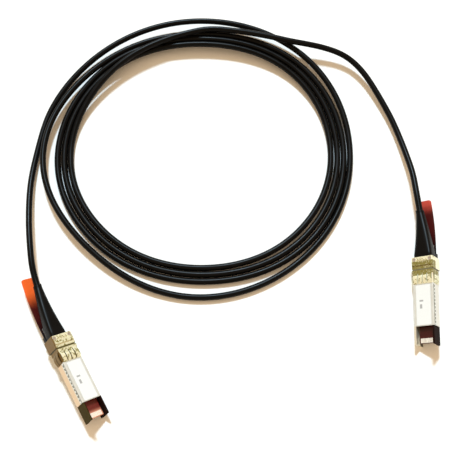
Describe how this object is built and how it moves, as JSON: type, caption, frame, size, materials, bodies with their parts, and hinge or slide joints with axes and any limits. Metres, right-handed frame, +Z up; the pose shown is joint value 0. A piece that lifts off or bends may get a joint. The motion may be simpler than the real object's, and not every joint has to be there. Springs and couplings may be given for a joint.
{
  "type": "direct attach copper cable",
  "caption": "Loosely coiled black copper cable with a latching metal plug and a red pull tab on each end, lying on the floor.",
  "frame": {"origin": "middle of the two plugs' bounding box, on the floor that the cable lies on", "axes": "+Z up from the floor; +X from the left plug to the right plug; +Y from the plugs towards the far side of the coil"},
  "size_m": [0.2727, 0.2927, 0.0177],
  "materials": {
    "zinc": "nickel-plated die-cast zinc, fine satin",
    "dark_frame": "dark brown moulded frame, slightly glossy",
    "gilt_zinc": "pale gilt plating",
    "gilt_spring": "pale gilt sheet, smooth",
    "steel": "plain stainless sheet",
    "label": "blank white polyester label, satin",
    "board": "dark red-brown circuit board, solder mask",
    "gold": "hard gold plating",
    "chips": "black moulded components",
    "wire": "pale foil-wrapped conductors",
    "jacket": "black matt cable jacket",
    "brass": "plain brass sleeve",
    "boot": "black moulded strain relief, matt",
    "red_tab": "red flexible plastic, slightly glossy"
  },
  "bodies": {
    "cable_and_plugs": {"left_base_shell": "zinc", "left_nose_frame": "dark_frame", "left_rear_cap": "gilt_zinc", "left_cap_screws": "steel", "left_top_cover": "zinc", "left_blank_label": "label", "left_paddle_card": "board", "left_contact_pads": "gold", "left_card_components": "chips", "left_signal_wires": "wire", "left_cable_end": "jacket", "left_crimp_ferrule": "brass", "left_boot": "boot", "left_emi_collar": "gilt_spring", "left_slot_keeper": "gilt_zinc", "left_latch_pin": "steel", "right_base_shell": "zinc", "right_nose_frame": "dark_frame", "right_rear_cap": "gilt_zinc", "right_cap_screws": "steel", "right_top_cover": "zinc", "right_blank_label": "label", "right_paddle_card": "board", "right_contact_pads": "gold", "right_card_components": "chips", "right_signal_wires": "wire", "right_cable_end": "jacket", "right_crimp_ferrule": "brass", "right_boot": "boot", "right_emi_collar": "gilt_spring", "right_slot_keeper": "gilt_zinc", "right_latch_pin": "steel", "left_cable_lead": "jacket", "cable_coil": "jacket", "right_cable_lead": "jacket"},
    "left_release": {"left_release_slider": "steel", "left_pull_tab": "red_tab", "left_tab_holder": "boot", "left_tab_rivet": "steel"},
    "left_latch": {"left_latch_lever": "steel", "left_latch_spring": "steel"},
    "right_release": {"right_release_slider": "steel", "right_pull_tab": "red_tab", "right_tab_holder": "boot", "right_tab_rivet": "steel"},
    "right_latch": {"right_latch_lever": "steel", "right_latch_spring": "steel"}
  },
  "joints": [
    {"name": "left_release_pull", "type": "slide", "parent": "cable_and_plugs", "child": "left_release", "axis": [-0.4843, 0.8736, 0.0471], "range_m": [0, 0.0025], "stiffness_N_per_m": 900},
    {"name": "left_latch_tilt", "type": "hinge", "parent": "cable_and_plugs", "child": "left_latch", "pos_m": [-0.10326, -0.03022, 0.00704], "axis": [-0.7034, -0.4208, 0.5729], "range_deg": [0, 6], "stiffness_Nm_per_rad": 0.002},
    {"name": "right_release_pull", "type": "slide", "parent": "cable_and_plugs", "child": "right_release", "axis": [0.0505, 0.9977, 0.046], "range_m": [0, 0.0025], "stiffness_N_per_m": 900},
    {"name": "right_latch_tilt", "type": "hinge", "parent": "cable_and_plugs", "child": "right_latch", "pos_m": [0.12557, 0.02058, 0.00719], "axis": [-0.7856, 0.0682, -0.615], "range_deg": [0, 6], "stiffness_Nm_per_rad": 0.002}
  ],
  "couplings": [
    {"joint": "left_latch_tilt", "follows": "left_release_pull", "rad_per_m": 41.8},
    {"joint": "right_latch_tilt", "follows": "right_release_pull", "rad_per_m": 41.8}
  ]
}
